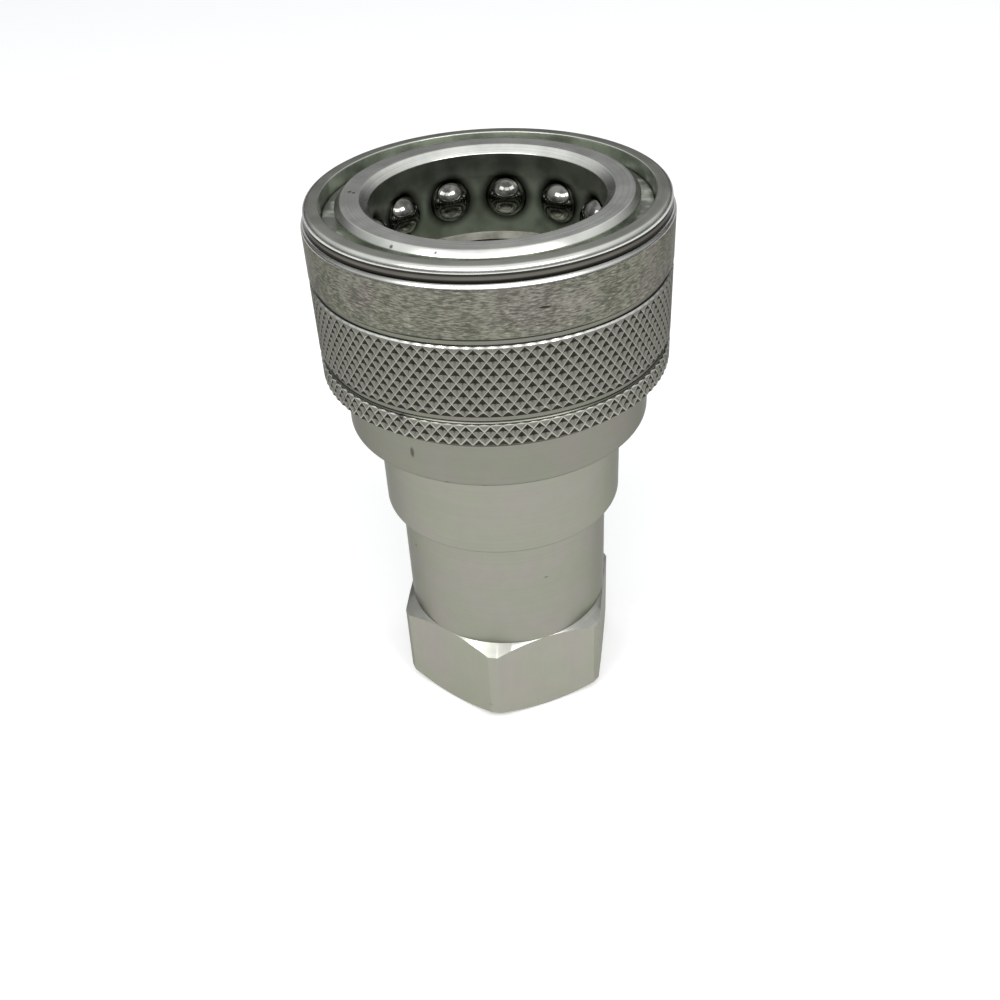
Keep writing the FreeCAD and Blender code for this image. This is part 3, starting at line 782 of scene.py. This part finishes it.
class COUPLER_OT_sleeve(bpy.types.Operator):
    """Sleeve with its rim, neck, satin band and two knurled bands"""
    bl_idname = "coupler.sleeve"
    bl_label = "Knurled sleeve"

    def execute(self, context):
        size = context.scene.coupler_sleeve
        outer = size.radius / MM
        neck = size.neck_radius / MM
        skirt = size.skirt_bore / MM
        land = size.land_radius / MM
        front = size.front_bore / MM
        root = outer - size.knurl_depth / MM
        shelf = outer - size.shelf_depth / MM
        top = top_of("sleeve")
        upper = size.upper_knurl / MM
        lower = size.lower_knurl / MM
        row = size.row_height / MM
        upper_rows = 10
        lower_rows = 3
        foot = 57.63
        neck_round = 0.8
        groove = 0.2
        line = lower + groove
        bm = bmesh.new()
        draw_section(bm, [
            (shelf, lower - lower_rows * row, 0.1), (shelf - 0.94, foot, 0.25), (skirt, foot, 0.1),
            (skirt, LAND_BOTTOM), (land, LAND_BOTTOM, 0.1), (land, 75.65, 0.1), (front, 79.9),
            (front, top, 0.15), (neck, top, neck_round), (neck, top - 1.95, 0.45), (outer, top - 2.5, 0.2),
            (outer, 73.95, 0.12), (shelf, 73.65, 0.08), (shelf, upper), (shelf, line + groove),
            (shelf - groove, line), (shelf, line - groove), (shelf, lower)])
        turn(bm, 320)
        close_up(bm)

        def rule(r, z, normal):
            if r < 23.0 and normal.z < 0.5:
                return "bore"
            # The rim's rounding that faces up takes the pale tint, a painted highlight; its flat top keeps
            # the rim tint.
            if z > top - neck_round - 0.05 and normal.z > 0.12:
                return "rim" if normal.z > 0.95 else "bright"
            # The neck's wall takes the dark neck tint: painted shade.
            if z > top - 1.93:
                return "neck"
            # The chamfer below the neck takes the pale tint: a painted highlight.
            if z > 80.45:
                return "bright"
            if r > outer - 0.3 and z > 73.9:
                return "satin"
            return "groove" if z > lower - lower_rows * row - 0.1 else "tail"

        kinds = paint(bm, rule)
        cut = size.end_chamfer / MM
        for start, rows, chamfer in ((upper, upper_rows, cut), (lower, lower_rows, cut * 0.6)):
            self.roll_knurl(bm, size, start, rows, chamfer, outer, root, len(kinds))
        kinds += ["knurl", "bright"]
        finish_piece(bm, "knurled_sleeve", kinds, "sleeve", ["sleeve"], sharp=20.0)
        return {"FINISHED"}

    def roll_knurl(self, bm, size, start, rows, cut, outer, root, index):
        """One band of four-sided pits: a strip one pit wide, repeated round the sleeve, its ridges eased."""
        row = size.row_height / MM
        step = ROUND / size.pits / 2
        end = start - row * rows
        sunk = root - 0.25
        pits = [start - row * k for k in range(1, rows)]
        heights = [start, start, start - cut] + pits + [end + cut, end, end]
        shares = [(0, 0), (0, 0), (1, 0.6)] + [(1, 0)] * (rows - 1) + [(1, 0.6), (0, 0), (0, 0)]
        last = len(heights) - 1
        strip = bmesh.new()
        bmesh.ops.create_grid(strip, x_segments=2, y_segments=last, size=1.0)
        levels = [[None] * 3 for _ in heights]
        for vert in strip.verts:
            column = round(vert.co.x + 1)
            level = round((vert.co.y + 1) / 2 * last)
            levels[level][column] = vert
        for level, columns in enumerate(levels):
            for column, vert in enumerate(columns):
                r = root + (outer - root) * shares[level][(level + column) % 2]
                if level in (0, last):
                    r = sunk
                vert.co = (r * math.cos(column * step), r * math.sin(column * step), heights[level])
        for level in range(last):
            for column in range(2):
                near = column + (level + column) % 2
                far = 2 * column + 1 - near
                bmesh.ops.connect_vert_pair(strip, verts=[levels[level][near], levels[level + 1][far]])
        count = size.pits
        bmesh.ops.spin(
            strip, geom=strip.verts[:] + strip.edges[:] + strip.faces[:], cent=CENTRE, axis=UP,
            angle=ROUND * (count - 1) / count, steps=count - 1, use_duplicate=True)
        bmesh.ops.remove_doubles(strip, verts=strip.verts[:], dist=0.001)
        ends = [e for e in strip.edges if e.is_boundary]
        bmesh.ops.bridge_loops(strip, edges=ends)
        bmesh.ops.recalc_face_normals(strip, faces=strip.faces[:])
        ridges = [e for e in strip.edges if e.is_manifold and e.is_convex and e.calc_face_angle(0.0) > 0.15
                  and min(v.co.xy.length for v in e.verts) > outer - 0.02]
        bmesh.ops.bevel(
            strip, geom=ridges, offset=size.ridge_width / MM, offset_type="OFFSET", segments=2, profile=0.5,
            affect="EDGES", material=-1, clamp_overlap=True)
        # Up-facing faces of the knurl's top chamfer take the pale tint, a painted highlight.
        for face in strip.faces:
            at_top = face.calc_center_median().z > start - cut - 0.02 and face.normal.z > 0.5
            face.material_index = index + at_top
        mesh = bpy.data.meshes.new("knurl_strip")
        strip.to_mesh(mesh)
        strip.free()
        bm.from_mesh(mesh)
        bpy.data.meshes.remove(mesh)


class COUPLER_OT_rings(bpy.types.Operator):
    """Split retaining ring, backup ring and O-rings"""
    bl_idname = "coupler.rings"
    bl_label = "Rings and seals"

    def execute(self, context):
        inner = 19.02
        outer = 22.05
        bottom = 79.535
        top = 81.035
        bm = bmesh.new()
        draw_section(bm, [(inner, bottom), (outer, bottom, 0.15), (outer, top, 0.2), (inner, top)])
        turn(bm, 220, math.radians(353.0))
        bmesh.ops.holes_fill(bm, edges=[e for e in bm.edges if e.is_boundary], sides=0)
        bmesh.ops.recalc_face_normals(bm, faces=bm.faces[:])
        bmesh.ops.rotate(
            bm, verts=bm.verts[:], cent=CENTRE, matrix=Matrix.Rotation(math.radians(153.5), 3, "Z"))
        finish_piece(bm, "split_ring", ["ring"], "root", ["retaining_ring"])
        inner = 16.1
        outer = 18.18
        bottom = 68.78
        top = 70.08
        turned_piece(
            "backup_washer", [(inner, bottom, 0.1), (outer, bottom), (outer, top), (inner, top, 0.1)],
            ["plastic"], "root", ["backup_ring"])
        self.o_ring("nipple_o_ring", 16.82, 2.72, 67.4, "root", "nipple_seal")
        self.o_ring("body_o_ring", 14.32, 1.6, 41.45, "root", "body_seal")
        low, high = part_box("poppet_seal")
        height = (low.z + high.z) / MM / 2
        self.o_ring("valve_o_ring", high.x / MM - 0.75, 1.5, height, "poppet", "poppet_seal")
        return {"FINISHED"}

    def o_ring(self, name, middle, section, height, body, node):
        bm = bmesh.new()
        upright = Matrix.Translation((middle, 0, height)) @ Matrix.Rotation(math.radians(90.0), 4, "X")
        bmesh.ops.create_circle(bm, segments=24, radius=section / 2, matrix=upright)
        turn(bm, 160)
        close_up(bm)
        finish_piece(bm, name, ["rubber"], body, [node])


class COUPLER_OT_valve(bpy.types.Operator):
    """Mushroom valve that closes the bore, and the finish of its guide"""
    bl_idname = "coupler.valve"
    bl_label = "Valve"

    def execute(self, context):
        cone = math.radians(45.0)
        seat_gap = 0.12 / math.sin(cone)
        rim_top = SEAT_TOP - 2.3 - seat_gap
        rim = rim_top - 2.2
        nose_foot = SEAT_TOP + 0.3 - seat_gap
        sunk = 0.77
        middle = 11.25 - sunk * math.cos(cone)
        height = 57.35 - sunk * math.sin(cone)
        groove = 0.75
        stem = 3.0
        stem_end = 32.9
        hub = 6.8
        hub_bottom = rim - 1.6
        edge = 12.3
        nose = 9.7
        face = 60.9
        dish = 60.3
        section = [
            (0.0, stem_end), (stem, stem_end, 0.6), (stem, hub_bottom), (hub, hub_bottom, 0.4), (hub, rim),
            (edge, rim, 0.4), (edge, rim_top), (middle + groove, height - 0.02), (middle, height - groove),
            (middle - groove, height + 0.02), (nose, nose_foot), (nose, 60.1), (8.9, face),
            (5.2, face, 0.2), (4.6, dish, 0.2), (0.0, dish)]

        def rule(r, z, normal):
            return "plate" if z > 60.0 else "bore"

        turned_piece("valve_head", section, rule, "poppet", ["valve_poppet"], 160)
        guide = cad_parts["valve_guide"]
        guide.data.materials.clear()
        guide.data.materials.append(material("bore"))
        return {"FINISHED"}


class COUPLER_OT_springs(bpy.types.Operator):
    """The sleeve's spring and the valve's spring"""
    bl_idname = "coupler.springs"
    bl_label = "Springs"

    def execute(self, context):
        sleeve_coil = self.wind("sleeve_coil", 21.165, 1.4, COLLAR_TOP, LAND_BOTTOM, 4.0, "sleeve_spring")
        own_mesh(sleeve_coil)
        valve_coil = self.wind("valve_coil", 7.9, 1.3, 38.4, 53.93, 4.8, "poppet_spring")
        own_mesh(valve_coil)
        return {"FINISHED"}

    def wind(self, name, middle, wire, low, high, turns, node):
        """Round wire wound with one closed turn at each end."""
        steps = 60
        gap = 0.02
        closed = wire + 2 * gap
        opened = (high - low - wire - 2 * gap - 2 * closed) / (turns - 2)
        start = Matrix.Translation((middle, 0, low + wire / 2 + gap))
        upright = start @ Matrix.Rotation(math.radians(90.0), 4, "X")
        bm = bmesh.new()
        ring = bmesh.ops.create_circle(bm, segments=14, radius=wire / 2, matrix=upright)["verts"]
        loop = list(dict.fromkeys(ring + [e for v in ring for e in v.link_edges]))
        for rise, count in ((closed, 1.0), (opened, turns - 2), (closed, 1.0)):
            made = round(steps * count)
            loop = bmesh.ops.spin(
                bm, geom=loop, cent=CENTRE, axis=UP, dvec=(0, 0, rise * count / made), angle=ROUND * count,
                steps=made)["geom_last"]
        bmesh.ops.holes_fill(bm, edges=[e for e in bm.edges if e.is_boundary], sides=0)
        bmesh.ops.recalc_face_normals(bm, faces=bm.faces[:])
        return finish_piece(bm, name, ["wire"], "root", [node])


class COUPLER_OT_stage(bpy.types.Operator):
    """Pale floor, soft lamps and the camera"""
    bl_idname = "coupler.stage"
    bl_label = "Stage"

    def execute(self, context):
        scene = context.scene
        settings = scene.coupler_stage
        self.lay_floor(scene, settings)
        self.hang_lamps(scene)
        self.place_camera(scene, settings)
        scene.view_settings.view_transform = "Standard"
        return {"FINISHED"}

    def lay_floor(self, scene, settings):
        bm = bmesh.new()
        bmesh.ops.create_grid(bm, x_segments=1, y_segments=1, size=settings.floor_size / 2)
        mesh = bpy.data.meshes.new("floor")
        bm.to_mesh(mesh)
        bm.free()
        recipe = Recipe("floor_pale")
        grain = recipe.clouds(40.0)
        tint = tuple(settings.floor_colour)
        shade = recipe.blend(grain, tuple(c * 0.99 for c in tint), tint)
        matt = recipe.node("ShaderNodeBsdfDiffuse", sockets={"Color": shade})
        glow = recipe.node("ShaderNodeEmission", sockets={"Color": (1, 1, 1, 1), "Strength": 0.24})
        lifted = recipe.node("ShaderNodeAddShader", sockets={0: matt, 1: glow})
        path = "ShaderNodeLightPath"
        seen = recipe.node(path, output="Is Camera Ray") + recipe.node(path, output="Is Glossy Ray")
        seen = (seen + recipe.node(path, output="Is Transmission Ray")).held()
        surface = recipe.node("ShaderNodeMixShader", sockets={0: seen, 1: matt, 2: lifted})
        mesh.materials.append(recipe.cover(surface))
        floor = bpy.data.objects.new("floor", mesh)
        scene.collection.objects.link(floor)

    def hang_lamps(self, scene):
        """A room that is dim at eye level and bright overhead, and three soft lamps in front."""
        room = Recipe("studio", world=True)
        light = room.node("ShaderNodeBackground", sockets={
            "Color": (0.97, 0.99, 1.0, 1.0), "Strength": 0.07 + room.z.over(0.05, 0.90) * 0.80})
        scene.world = room.cover(light, "ShaderNodeOutputWorld")
        for name, place, width, depth, power in (
                ("front_softbox", (0.083, -0.473, 0.62), 0.30, 0.20, 0.95),
                ("left_softbox", (-0.254, -0.407, 0.62), 0.30, 0.20, 1.3),
                ("right_softbox", (0.368, -0.309, 0.62), 0.30, 0.20, 1.3)):
            lamp = bpy.data.lights.new(name, "AREA")
            lamp.shape = "RECTANGLE"
            lamp.size = width
            lamp.size_y = depth
            lamp.energy = power
            holder = bpy.data.objects.new(name, lamp)
            aim = Vector((0, 0, 0.045)) - Vector(place)
            facing = aim.to_track_quat("-Z", "Y").to_matrix().to_4x4()
            holder.matrix_world = Matrix.Translation(place) @ facing
            scene.collection.objects.link(holder)

    def place_camera(self, scene, settings):
        camera = bpy.data.cameras.new("camera")
        camera.sensor_width = 36.0
        camera.lens = settings.lens
        camera.clip_start = 0.005
        holder = bpy.data.objects.new("camera", camera)
        turned = Matrix.Rotation(settings.camera_turn, 4, "Z")
        tilted = Matrix.Rotation(math.radians(90.0) - settings.camera_tilt, 4, "X")
        rolled = Matrix.Rotation(settings.camera_roll, 4, "Z")
        holder.matrix_world = Matrix.Translation(settings.camera_place) @ turned @ tilted @ rolled
        scene.collection.objects.link(holder)
        scene.camera = holder


PIECES = (
    COUPLER_OT_stage, COUPLER_OT_hexagon, COUPLER_OT_socket, COUPLER_OT_balls, COUPLER_OT_sleeve,
    COUPLER_OT_rings, COUPLER_OT_valve, COUPLER_OT_springs)


class COUPLER_PT_panel(bpy.types.Panel):
    """Lists the coupler's pieces and the stage"""
    bl_idname = "COUPLER_PT_panel"
    bl_label = "Quick Coupler"
    bl_space_type = "VIEW_3D"
    bl_region_type = "UI"
    bl_category = "Coupler"

    def draw(self, context):
        for piece in PIECES:
            self.layout.operator(piece.bl_idname)
        for name in GROUPS:
            settings = getattr(context.scene, name)
            box = self.layout.box()
            for field in settings.bl_rna.properties:
                if field.identifier not in ("rna_type", "name"):
                    box.prop(settings, field.identifier)


GROUPS = {
    "coupler_sleeve": CouplerSleeveSizes, "coupler_body": CouplerBodySizes,
    "coupler_hexagon": CouplerHexagonSizes,
    "coupler_finish": CouplerFinish, "coupler_stage": CouplerStageSettings,
}


def register():
    for name, group in GROUPS.items():
        bpy.utils.register_class(group)
        setattr(bpy.types.Scene, name, bpy.props.PointerProperty(type=group))
    for piece in PIECES:
        bpy.utils.register_class(piece)
    bpy.utils.register_class(COUPLER_PT_panel)


def unregister():
    bpy.utils.unregister_class(COUPLER_PT_panel)
    for piece in reversed(PIECES):
        bpy.utils.unregister_class(piece)
    for name, group in GROUPS.items():
        delattr(bpy.types.Scene, name)
        bpy.utils.unregister_class(group)


def main():
    register()
    bpy.ops.coupler.stage()
    bpy.ops.coupler.hexagon()
    bpy.ops.coupler.socket()
    bpy.ops.coupler.balls()
    bpy.ops.coupler.sleeve()
    bpy.ops.coupler.rings()
    bpy.ops.coupler.valve()
    bpy.ops.coupler.springs()


if __name__ == "__main__":
    main()
